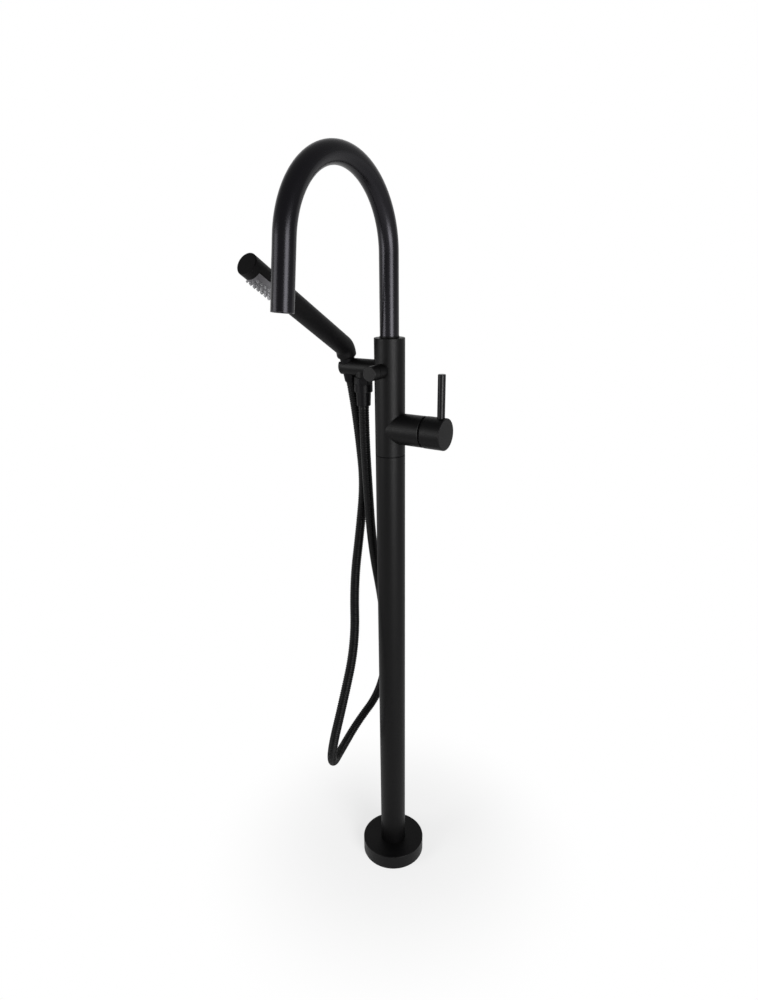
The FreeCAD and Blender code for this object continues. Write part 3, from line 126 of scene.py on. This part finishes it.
# The soft lamps: where each stands, what it faces, its size, and its share of the stage's lamp power.
Lamp = namedtuple("Lamp", "name place target width height share")
LAMPS = (
    Lamp("soft_lamp_right", (1.36, -0.70, 0.95), (0.0, 0.0, 0.9), 0.82, 0.9, 1.25),
    Lamp("soft_lamp_left", (-0.64, -0.88, 0.89), (0.0, 0.0, 0.86), 0.58, 0.72, 0.26),
    Lamp("soft_lamp_low", (1.38, -1.00, 0.40), (0.0, 0.0, 0.6), 0.7, 0.5, 0.5),
    Lamp("soft_lamp_handle", (-0.80, -1.55, 0.86), (0.07, 0.0, 0.73), 0.5, 0.25, 0.18),
)

# The camera. Angles are in degrees, and the lens is in millimetres as the sensor is.
CAMERA_BEARING = 32.3004     # from straight in front of the spout, round towards the handle
CAMERA_DISTANCE = 0.8995221  # from the column's axis
CAMERA_HEIGHT = 0.9280423
CAMERA_TURN = 0.6391         # to the left of the column's axis
CAMERA_DOWN = 21.6217        # below the horizon
CAMERA_ROLL = 0.6731         # clockwise, seen from behind the camera
CAMERA_SENSOR = 36.0
CAMERA_LENS = 24.597
CAMERA_SHIFT = (-0.0049, 0.0369)     # to the right and up, as shares of the frame's longer side
CAMERA_CLIP = (0.05, 50.0)   # the nearest and the furthest that it sees


# ---------------------------------------------------------------- sizes and colours to change

class BATHFILLER_PG_finish(bpy.types.PropertyGroup):
    """Colours and sheen of the coats and of the spray face."""

    powder_colour: bpy.props.FloatVectorProperty(
        name="Powder coat", description="Colour of the matt black powder coat",
        subtype="COLOR", size=3, min=0.0, max=1.0, default=(0.0022, 0.0021, 0.0023))
    powder_roughness: bpy.props.FloatProperty(
        name="Powder roughness", description="How matt the powder coat is",
        subtype="FACTOR", min=0.0, max=1.0, default=0.42)
    powder_grain: bpy.props.FloatProperty(
        name="Powder grain", description="Size of the coat's fine bumps",
        subtype="DISTANCE", unit="LENGTH", min=0.0002, max=0.01, default=0.0011)
    spout_colour: bpy.props.FloatVectorProperty(
        name="Spout coat", description="Colour of the smoother coat on spout, pin lever and nuts",
        subtype="COLOR", size=3, min=0.0, max=1.0, default=(0.0018, 0.0016, 0.0022))
    spout_roughness: bpy.props.FloatProperty(
        name="Spout roughness", description="How matt the spout's coat is",
        subtype="FACTOR", min=0.0, max=1.0, default=0.27)
    face_colour: bpy.props.FloatVectorProperty(
        name="Spray face", description="Colour of the spray plate",
        subtype="COLOR", size=3, min=0.0, max=1.0, default=(0.115, 0.112, 0.12))
    nozzle_colour: bpy.props.FloatVectorProperty(
        name="Nozzles", description="Colour of the rubber nozzles",
        subtype="COLOR", size=3, min=0.0, max=1.0, default=(0.27, 0.27, 0.28))


class BATHFILLER_PG_hose(bpy.types.PropertyGroup):
    """Sizes of the metal hose."""

    diameter: bpy.props.FloatProperty(
        name="Diameter", description="Outside diameter of the hose",
        subtype="DISTANCE", unit="LENGTH", min=0.006, max=0.03, default=0.014)
    rib_pitch: bpy.props.FloatProperty(
        name="Rib pitch", description="Distance from one rib to the next",
        subtype="DISTANCE", unit="LENGTH", min=0.001, max=0.01, default=0.0034)
    rib_depth: bpy.props.FloatProperty(
        name="Rib depth", description="Depth of the groove between two ribs",
        subtype="DISTANCE", unit="LENGTH", min=0.0, max=0.002, default=0.0007)
    sides: bpy.props.IntProperty(
        name="Sides", description="Points round the hose", min=8, max=64, default=24)


class BATHFILLER_PG_stage(bpy.types.PropertyGroup):
    """Floor and light."""

    floor_colour: bpy.props.FloatVectorProperty(
        name="Floor", description="Colour of the floor",
        subtype="COLOR", size=3, min=0.0, max=1.0, default=(0.92, 0.92, 0.92))
    room_light: bpy.props.FloatProperty(
        name="Room light", description="Strength of the light that the room's white side gives",
        min=0.0, max=2.0, default=0.45)
    lamp_power: bpy.props.FloatProperty(
        name="Lamp power", description="Power that each soft lamp takes a share of",
        subtype="POWER", unit="POWER", min=0.0, max=500.0, default=17.0)


# ---------------------------------------------------------------- shader nodes

def node_of(tree, kind, place, **values):
    """A shader node with some of its settings and inputs filled in."""
    node = tree.nodes.new(kind)
    node.location = place
    for name, value in values.items():
        if hasattr(node, name):
            setattr(node, name, value)
        else:
            node.inputs[name.replace("_", " ")].default_value = value
    return node


def combined(tree, operation, place, first, second):
    """The sum, the product or the larger one of two values."""
    node = node_of(tree, "ShaderNodeMath", place, operation=operation)
    tree.links.new(first, node.inputs[0])
    tree.links.new(second, node.inputs[1])
    return node.outputs["Value"]


def ramp(tree, place, value, start, end):
    """What a value eases to, between two pairs of a value and its result."""
    ease = node_of(tree, "ShaderNodeMapRange", place, interpolation_type="SMOOTHSTEP",
                   From_Min=start[0], From_Max=end[0], To_Min=start[1], To_Max=end[1])
    tree.links.new(value, ease.inputs["Value"])
    return ease.outputs["Result"]


def mirror_rays(tree, path, place):
    """1 for what a reflection or glass shows, 0 for the rest."""
    return combined(tree, "MAXIMUM", place,
                    path.outputs["Is Glossy Ray"], path.outputs["Is Transmission Ray"])


# ---------------------------------------------------------------- materials

def coat(name, colour, roughness, gloss, grain, bump, spread=0.06, metallic=0.0,
         gloss_tint=(1.0, 1.0, 1.0), stretch=(1.0, 1.0, 1.0)):
    """A finish with bumps of the grain's size, whose colour and sheen vary by the spread."""
    material = bpy.data.materials.new(name)
    material.use_nodes = True
    tree = material.node_tree
    shader = tree.nodes["Principled BSDF"]
    shader.inputs["Metallic"].default_value = metallic
    shader.inputs["Specular IOR Level"].default_value = gloss
    shader.inputs["Specular Tint"].default_value = (*gloss_tint, 1.0)

    place = node_of(tree, "ShaderNodeTexCoord", (-1200, 0))
    shape = node_of(tree, "ShaderNodeMapping", (-1020, 0), Scale=stretch)
    tree.links.new(place.outputs["Object"], shape.inputs["Vector"])

    cloud = node_of(tree, "ShaderNodeTexNoise", (-820, 260),
                    Scale=CLOUDS_PER_METRE, Detail=3.0, Roughness=0.55)
    fine = node_of(tree, "ShaderNodeTexNoise", (-820, 0),
                   Scale=1.0 / grain, Detail=2.0, Roughness=0.5)
    tiny = node_of(tree, "ShaderNodeTexNoise", (-820, -260),
                   Scale=TINY_GRAIN / grain, Detail=1.0, Roughness=0.5)
    for noise in (cloud, fine, tiny):
        tree.links.new(shape.outputs["Vector"], noise.inputs["Vector"])

    tint = node_of(tree, "ShaderNodeValToRGB", (-560, 300))
    low, high = tint.color_ramp.elements
    low.position, high.position = CLOUD_RANGE
    low.color = (*[c * (1.0 - spread * TINT_SPREAD) for c in colour], 1.0)
    high.color = (*[min(1.0, c * (1.0 + spread * TINT_SPREAD)) for c in colour], 1.0)
    tree.links.new(cloud.outputs["Fac"], tint.inputs["Fac"])
    tree.links.new(tint.outputs["Color"], shader.inputs["Base Color"])

    sheen = node_of(tree, "ShaderNodeMapRange", (-560, 40),
                    From_Min=GRAIN_RANGE[0], From_Max=GRAIN_RANGE[1],
                    To_Min=max(SMOOTHEST, roughness - spread), To_Max=min(1.0, roughness + spread))
    tree.links.new(fine.outputs["Fac"], sheen.inputs["Value"])
    tree.links.new(sheen.outputs["Result"], shader.inputs["Roughness"])

    height = combined(tree, "ADD", (-560, -200), fine.outputs["Fac"], tiny.outputs["Fac"])
    relief = node_of(tree, "ShaderNodeBump", (-300, -200), Strength=bump, Distance=grain * GRAIN_DEPTH)
    tree.links.new(height, relief.inputs["Height"])
    tree.links.new(relief.outputs["Normal"], shader.inputs["Normal"])
    return material


def dress(nodes, material):
    """Give CAD pieces a finish."""
    for name in nodes:
        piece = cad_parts[name]
        piece.data.materials.clear()
        piece.data.materials.append(material)


class BATHFILLER_OT_powder_coat(bpy.types.Operator):
    """Powder coat the foot, column, mixer body, handle, diverter, collar, bar and hand shower."""
    bl_idname = "bathfiller.powder_coat"
    bl_label = "Powder coated parts"

    def execute(self, context):
        finish = context.scene.bathfiller_finish
        powder = coat("matt_black_powder_coat", finish.powder_colour, finish.powder_roughness,
                      gloss=0.135, grain=finish.powder_grain, bump=0.35)
        dress(("base_cover", "column_tube", "mixer_body", "handle_cap", "diverter_sleeve",
               "diverter_knob", "spout_collar", "holder_bar"), powder)
        soft = coat("soft_black_baton", finish.powder_colour, finish.powder_roughness + BATON_ROUGHER,
                    gloss=0.1, grain=finish.powder_grain * BATON_COARSER, bump=0.3)
        dress(("hand_shower_body", "hand_shower_end_cap"), soft)
        return {"FINISHED"}


class BATHFILLER_OT_spout(bpy.types.Operator):
    """Give the spout, the pin lever and the hose's nuts their smoother black coat."""
    bl_idname = "bathfiller.spout"
    bl_label = "Spout, lever and nuts"

    def execute(self, context):
        finish = context.scene.bathfiller_finish
        smooth = coat("satin_black_coat", finish.spout_colour, finish.spout_roughness,
                      gloss=0.27, grain=0.0016, bump=0.006, spread=0.006, gloss_tint=(0.92, 0.9, 1.0))
        dress(("spout_tube",), smooth)
        pin = coat("satin_black_pin", finish.spout_colour, finish.spout_roughness + PIN_ROUGHER,
                   gloss=0.17, grain=0.0014, bump=0.015, spread=0.008)
        dress(("handle_lever",), pin)
        nuts = coat("satin_black_nuts", finish.spout_colour, finish.spout_roughness + NUTS_ROUGHER,
                    gloss=0.1, grain=0.0012, bump=0.1, spread=0.04)
        dress(("outlet_hose_nut", "hand_hose_nut"), nuts)
        return {"FINISHED"}


class BATHFILLER_OT_spray_face(bpy.types.Operator):
    """Give the spray plate its grey and the rubber nozzles their lighter grey."""
    bl_idname = "bathfiller.spray_face"
    bl_label = "Spray face"

    def execute(self, context):
        finish = context.scene.bathfiller_finish
        plate = coat("grey_spray_plate", finish.face_colour, 0.42,
                     gloss=0.35, grain=0.0009, bump=0.12, spread=0.03)
        dress(("spray_plate",), plate)
        rubber = coat("grey_nozzle_rubber", finish.nozzle_colour, 0.6,
                      gloss=0.35, grain=0.0006, bump=0.2, spread=0.05)
        dress(("spray_nozzles",), rubber)
        return {"FINISHED"}


class BATHFILLER_OT_seals(bpy.types.Operator):
    """Give the seals, O-rings and washers their black rubber."""
    bl_idname = "bathfiller.seals"
    bl_label = "Seals"

    def execute(self, context):
        rubber = coat("black_seal_rubber", (0.012, 0.012, 0.012), 0.62,
                      gloss=0.4, grain=0.0007, bump=0.4)
        dress(("cover_seal", "supply_o_rings", "cartridge_seal", "diverter_o_ring", "diverter_valve",
               "spout_o_rings", "aerator_seal", "holder_seal", "outlet_hose_washer",
               "hand_hose_washer"), rubber)
        return {"FINISHED"}


class BATHFILLER_OT_metal_parts(bpy.types.Operator):
    """Give the inner metal parts their brass, steel, copper and black oxide."""
    bl_idname = "bathfiller.metal_parts"
    bl_label = "Inner metal parts"

    def execute(self, context):
        brass = coat("turned_brass", (0.60, 0.43, 0.17), 0.3,
                     gloss=0.5, grain=0.0008, bump=0.2, metallic=1.0, stretch=(1.0, 1.0, 4.0))
        dress(("spout_foot", "cartridge_spindle", "diverter_spindle", "hand_shower_nipple"), brass)
        dark_nut = coat("blackened_clamp_nut", (0.010, 0.010, 0.011), 0.45,
                        gloss=0.3, grain=0.001, bump=0.2)
        dress(("cartridge_nut",), dark_nut)
        steel = coat("zinc_plated_steel", (0.55, 0.56, 0.58), 0.38,
                     gloss=0.5, grain=0.0015, bump=0.3, metallic=1.0)
        dress(("floor_flange",), steel)
        screws = coat("stainless_screws", (0.52, 0.52, 0.53), 0.3,
                      gloss=0.5, grain=0.0006, bump=0.15, metallic=1.0)
        dress(("column_set_screws", "spindle_pin"), screws)
        dark_screws = coat("black_oxide_screws", (0.010, 0.010, 0.011), 0.42,
                           gloss=0.25, grain=0.0006, bump=0.15)
        dress(("spout_retaining_screw", "handle_grub_screw"), dark_screws)
        copper = coat("drawn_copper", (0.72, 0.34, 0.22), 0.32,
                      gloss=0.5, grain=0.002, bump=0.2, spread=0.08, metallic=1.0, stretch=(3.0, 3.0, 0.4))
        dress(("supply_pipe_hot", "supply_pipe_cold"), copper)
        return {"FINISHED"}


class BATHFILLER_OT_plastic_parts(bpy.types.Operator):
    """Give the cartridge, bearing, check valve, aerator and seam ring their plastic and ceramic."""
    bl_idname = "bathfiller.plastic_parts"
    bl_label = "Plastic and ceramic parts"

    def execute(self, context):
        acetal = coat("white_acetal", (0.74, 0.74, 0.71), 0.4,
                      gloss=0.5, grain=0.0014, bump=0.1, spread=0.02)
        dress(("cartridge_housing", "cartridge_rotor", "spout_bearing", "outlet_check_valve"), acetal)
        ceramic = coat("polished_ceramic", (0.78, 0.76, 0.70), 0.12,
                       gloss=0.6, grain=0.002, bump=0.04, spread=0.02)
        dress(("fixed_disc", "moving_disc"), ceramic)
        black_plastic = coat("black_moulded_plastic", (0.009, 0.009, 0.010), 0.45,
                             gloss=0.35, grain=0.0009, bump=0.2)
        dress(("aerator_housing",), black_plastic)
        seam = coat("black_seam_plastic", (0.002, 0.002, 0.002), 0.7,
                    gloss=0.05, grain=0.0009, bump=0.2)
        dress(("seam_ring",), seam)
        grey_plastic = coat("grey_aerator_insert", (0.30, 0.30, 0.31), 0.4,
                            gloss=0.5, grain=0.0008, bump=0.1)
        dress(("aerator_insert",), grey_plastic)
        return {"FINISHED"}


# ---------------------------------------------------------------- hose

def hose_line(route):
    """Points close together along the smooth curve that the route's points pull."""
    curve = bpy.data.curves.new("hose_route", "CURVE")
    curve.dimensions = "3D"
    curve.resolution_u = ROUTE_STEPS
    spline = curve.splines.new("NURBS")
    spline.points.add(len(route) - 1)
    for point, place in zip(spline.points, route):
        point.co = (*place, 1.0)
    spline.order_u = 3
    spline.use_endpoint_u = True
    carrier = bpy.data.objects.new("hose_route", curve)
    line = bpy.data.meshes.new_from_object(carrier)
    places = [v.co.copy() for v in line.vertices]
    bpy.data.objects.remove(carrier)
    bpy.data.curves.remove(curve)
    bpy.data.meshes.remove(line)
    return places


class Track:
    """Places along a line, and the directions across it without twist, looked up by length."""

    def __init__(self, places):
        steps = [b - a for a, b in zip(places, places[1:])]
        self.places = places
        self.distances = [0.0]
        for step in steps:
            self.distances.append(self.distances[-1] + step.length)
        self.length = self.distances[-1]
        self.across = []
        ahead = [step.normalized() for step in steps]
        tangents = [ahead[0]] + [(a + b).normalized() for a, b in zip(ahead, ahead[1:])] + [ahead[-1]]
        side = tangents[0].orthogonal().normalized()
        for i, tangent in enumerate(tangents):
            if i:
                side = tangents[i - 1].rotation_difference(tangent) @ side
            side = (side - tangent * side.dot(tangent)).normalized()
            self.across.append((side, tangent.cross(side)))

    def look(self, distance):
        """The place at this distance from the start, and the two directions across the line there."""
        distance = min(max(distance, 0.0), self.length)
        high = min(bisect.bisect_right(self.distances, distance), len(self.distances) - 1)
        low = high - 1
        share = (distance - self.distances[low]) / (self.distances[high] - self.distances[low])
        place = self.places[low].lerp(self.places[high], share)
        side = self.across[low][0].lerp(self.across[high][0], share)
        up = self.across[low][1].lerp(self.across[high][1], share)
        return place, side, up


def wound_rows(builder, track, radius, turns, depth, sides):
    """Rows of points that each go once round the track and one pitch along it, by the rib's section."""
    pitch = track.length / turns
    rows = []
    for turn in range(-1, turns):
        for share, height in RIB:
            row = []
            for spot in range(sides):
                along = (turn + share + spot / sides) * pitch
                from_end = min(along, track.length - along) / (FADING_TURNS * pitch)
                groove = depth * (1.0 - height) * min(1.0, max(0.0, from_end))
                place, side, up = track.look(along)
                angle = 2.0 * math.pi * spot / sides
                outward = side * math.cos(angle) + up * math.sin(angle)
                row.append(builder.verts.new(place + outward * (radius - groove)))
            rows.append(row)
    return rows


def join_rows(builder, rows):
    """Faces between each row and the next; a row's end meets the start of the row one turn on."""
    for i, (row, following) in enumerate(zip(rows, rows[1:])):
        for a, b, c, d in zip(row, row[1:], following[1:], following):
            builder.faces.new((a, b, c, d))
        turn_on = i + len(RIB)
        if turn_on + 1 < len(rows):
            builder.faces.new((row[-1], rows[turn_on][0], rows[turn_on + 1][0], following[-1]))


def ribbed_hose(name, places, hose):
    """A tube with one long rib wound round it like a shallow screw, and its length."""
    track = Track(places)
    turns = int(track.length / hose.rib_pitch)
    builder = bmesh.new()
    rows = wound_rows(builder, track, hose.diameter / 2, turns, hose.rib_depth, hose.sides)
    join_rows(builder, rows)
    bmesh.ops.remove_doubles(builder, verts=builder.verts, dist=WELD)
    bmesh.ops.dissolve_degenerate(builder, edges=builder.edges, dist=WELD)
    bmesh.ops.holes_fill(builder, edges=[e for e in builder.edges if e.is_boundary], sides=0)
    bmesh.ops.recalc_face_normals(builder, faces=builder.faces)
    for face in builder.faces:
        face.smooth = True
    mesh = bpy.data.meshes.new(name)
    builder.to_mesh(mesh)
    builder.free()
    piece = bpy.data.objects.new(name, mesh)
    bpy.context.scene.collection.objects.link(piece)
    return piece, track.length


class BATHFILLER_OT_hose(bpy.types.Operator):
    """Hang the ribbed metal hose between the two nuts."""
    bl_idname = "bathfiller.hose"
    bl_label = "Hose"

    def execute(self, context):
        hose = context.scene.bathfiller_hose
        places = hose_line(HOSE_ROUTE)
        piece, length = ribbed_hose("ribbed_hose", places, hose)
        metal = coat("black_hose_metal", (0.002, 0.002, 0.0022), 0.36,
                     gloss=0.13, grain=0.0012, bump=0.15, spread=0.05)
        piece.data.materials.append(metal)
        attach(piece, "stand")
        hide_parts("shower_hose")
        return {"FINISHED"}


# ---------------------------------------------------------------- stage

def add_lamp(scene, lamp, power):
    """A soft rectangular lamp that faces its target."""
    light = bpy.data.lights.new(lamp.name, "AREA")
    light.shape = "RECTANGLE"
    light.size = lamp.width
    light.size_y = lamp.height
    light.energy = power * lamp.share
    item = bpy.data.objects.new(lamp.name, light)
    item.location = lamp.place
    aim = Vector(lamp.target) - Vector(lamp.place)
    item.rotation_euler = aim.to_track_quat("-Z", "Y").to_euler()
    scene.collection.objects.link(item)


def pale_room(light):
    """A room that is white to the camera, white to dim in reflections, and weaker as a light."""
    world = bpy.data.worlds.new("pale_room")
    world.use_nodes = True
    tree = world.node_tree
    background = tree.nodes["Background"]
    background.inputs["Color"].default_value = (1.0, 1.0, 1.0, 1.0)
    aim = node_of(tree, "ShaderNodeTexCoord", (-1200, -300))
    forward = node_of(tree, "ShaderNodeVectorMath", (-1000, -300), operation="DOT_PRODUCT")
    forward.inputs[1].default_value = DIM_SIDE
    tree.links.new(aim.outputs["Generated"], forward.inputs[0])
    wall = ramp(tree, (-800, -300), forward.outputs["Value"], WHITE_WALL, DIM_WALL)
    path = node_of(tree, "ShaderNodeLightPath", (-1200, 0))
    mirrored = mirror_rays(tree, path, (-1000, 0))
    lit_or_mirrored = ramp(tree, (-800, 0), mirrored, (0.0, light), (1.0, 1.0))
    dimmed = combined(tree, "MULTIPLY", (-600, -100), lit_or_mirrored, wall)
    strength = combined(tree, "MAXIMUM", (-400, 0), path.outputs["Is Camera Ray"], dimmed)
    tree.links.new(strength, background.inputs["Strength"])
    return world


def floor_paint(colour):
    """A matt paint that is partly white by itself, so that the floor runs out into the white room."""
    surface = bpy.data.materials.new("pale_floor")
    surface.use_nodes = True
    tree = surface.node_tree
    paint = tree.nodes["Principled BSDF"]
    paint.inputs["Base Color"].default_value = (*colour, 1.0)
    paint.inputs["Roughness"].default_value = 0.9
    paint.inputs["Specular IOR Level"].default_value = 0.0
    place = node_of(tree, "ShaderNodeNewGeometry", (-1000, -300))
    reach = node_of(tree, "ShaderNodeVectorMath", (-800, -300), operation="LENGTH")
    tree.links.new(place.outputs["Position"], reach.inputs[0])
    distance = reach.outputs["Value"]
    path = node_of(tree, "ShaderNodeLightPath", (-1000, 0))
    seen = combined(tree, "MULTIPLY", (-400, 100), path.outputs["Is Camera Ray"],
                    ramp(tree, (-600, -100), distance, SEEN_NEAR, SEEN_FAR))
    mirrored = combined(tree, "MULTIPLY", (-400, -100), mirror_rays(tree, path, (-800, 0)),
                        ramp(tree, (-600, -400), distance, MIRRORED_NEAR, MIRRORED_FAR))
    share = combined(tree, "MAXIMUM", (-200, 0), seen, mirrored)
    white = node_of(tree, "ShaderNodeEmission", (0, -300), Strength=1.0)
    mix = node_of(tree, "ShaderNodeMixShader", (200, 0))
    tree.links.new(share, mix.inputs[0])
    tree.links.new(paint.outputs["BSDF"], mix.inputs[1])
    tree.links.new(white.outputs["Emission"], mix.inputs[2])
    tree.links.new(mix.outputs["Shader"], tree.nodes["Material Output"].inputs["Surface"])
    return surface


def pale_floor(scene, colour):
    """A plain floor that keeps the object's shadow."""
    mesh = bpy.data.meshes.new("floor")
    builder = bmesh.new()
    bmesh.ops.create_grid(builder, x_segments=1, y_segments=1, size=FLOOR_REACH)
    builder.to_mesh(mesh)
    builder.free()
    mesh.materials.append(floor_paint(colour))
    floor = bpy.data.objects.new("floor", mesh)
    scene.collection.objects.link(floor)
    return floor


def camera_placement():
    """The camera's place and aim as a matrix."""
    bearing = math.radians(CAMERA_BEARING)
    heading = bearing + math.radians(CAMERA_TURN)
    down = math.radians(CAMERA_DOWN)
    roll = math.radians(CAMERA_ROLL)
    ahead = Vector((-math.sin(heading) * math.cos(down), math.cos(heading) * math.cos(down),
                    -math.sin(down)))
    right = Vector((math.cos(heading), math.sin(heading), 0.0))
    below = ahead.cross(right)
    image_right = right * math.cos(roll) + below * math.sin(roll)
    image_down = below * math.cos(roll) - right * math.sin(roll)
    place = Vector((CAMERA_DISTANCE * math.sin(bearing), -CAMERA_DISTANCE * math.cos(bearing),
                    CAMERA_HEIGHT))
    turn = Matrix((image_right, -image_down, -ahead)).transposed().to_4x4()
    return Matrix.Translation(place) @ turn


def add_camera(scene):
    """The camera at the photograph's viewing angle."""
    camera = bpy.data.cameras.new("camera")
    camera.sensor_width = CAMERA_SENSOR
    camera.lens = CAMERA_LENS
    camera.shift_x, camera.shift_y = CAMERA_SHIFT
    camera.clip_start, camera.clip_end = CAMERA_CLIP
    view = bpy.data.objects.new("camera", camera)
    view.matrix_world = camera_placement()
    scene.collection.objects.link(view)
    scene.camera = view


class BATHFILLER_OT_stage(bpy.types.Operator):
    """Set up the pale floor, the soft light and the camera."""
    bl_idname = "bathfiller.stage"
    bl_label = "Floor, light and camera"

    def execute(self, context):
        scene = context.scene
        stage = scene.bathfiller_stage
        scene.world = pale_room(stage.room_light)
        floor = pale_floor(scene, stage.floor_colour)
        for lamp in LAMPS:
            add_lamp(scene, lamp, stage.lamp_power)
        add_camera(scene)
        scene.view_settings.view_transform = "Standard"
        return {"FINISHED"}


# ---------------------------------------------------------------- panel and start

STEPS = (
    BATHFILLER_OT_stage,
    BATHFILLER_OT_hose,
    BATHFILLER_OT_powder_coat,
    BATHFILLER_OT_spout,
    BATHFILLER_OT_spray_face,
    BATHFILLER_OT_seals,
    BATHFILLER_OT_metal_parts,
    BATHFILLER_OT_plastic_parts,
)


class BATHFILLER_PT_panel(bpy.types.Panel):
    """The bath filler's steps and settings in the sidebar."""
    bl_idname = "BATHFILLER_PT_panel"
    bl_label = "Bath Filler"
    bl_space_type = "VIEW_3D"
    bl_region_type = "UI"
    bl_category = "Bath Filler"

    def draw(self, context):
        for step in STEPS:
            self.layout.operator(step.bl_idname)
        for group in ("bathfiller_finish", "bathfiller_hose", "bathfiller_stage"):
            settings = getattr(context.scene, group)
            box = self.layout.box()
            for name in settings.__annotations__:
                box.prop(settings, name)


CLASSES = (
    BATHFILLER_PG_finish,
    BATHFILLER_PG_hose,
    BATHFILLER_PG_stage,
    *STEPS,
    BATHFILLER_PT_panel,
)


def register():
    """Make the classes and the scene's settings known."""
    for item in CLASSES:
        bpy.utils.register_class(item)
    bpy.types.Scene.bathfiller_finish = bpy.props.PointerProperty(type=BATHFILLER_PG_finish)
    bpy.types.Scene.bathfiller_hose = bpy.props.PointerProperty(type=BATHFILLER_PG_hose)
    bpy.types.Scene.bathfiller_stage = bpy.props.PointerProperty(type=BATHFILLER_PG_stage)


def unregister():
    """Take back what register made known."""
    del bpy.types.Scene.bathfiller_stage
    del bpy.types.Scene.bathfiller_hose
    del bpy.types.Scene.bathfiller_finish
    for item in reversed(CLASSES):
        bpy.utils.unregister_class(item)


def main():
    """Make the stage, the hose and the finishes."""
    register()
    bpy.ops.bathfiller.stage()
    bpy.ops.bathfiller.hose()
    bpy.ops.bathfiller.powder_coat()
    bpy.ops.bathfiller.spout()
    bpy.ops.bathfiller.spray_face()
    bpy.ops.bathfiller.seals()
    bpy.ops.bathfiller.metal_parts()
    bpy.ops.bathfiller.plastic_parts()


if __name__ == "__main__":
    main()
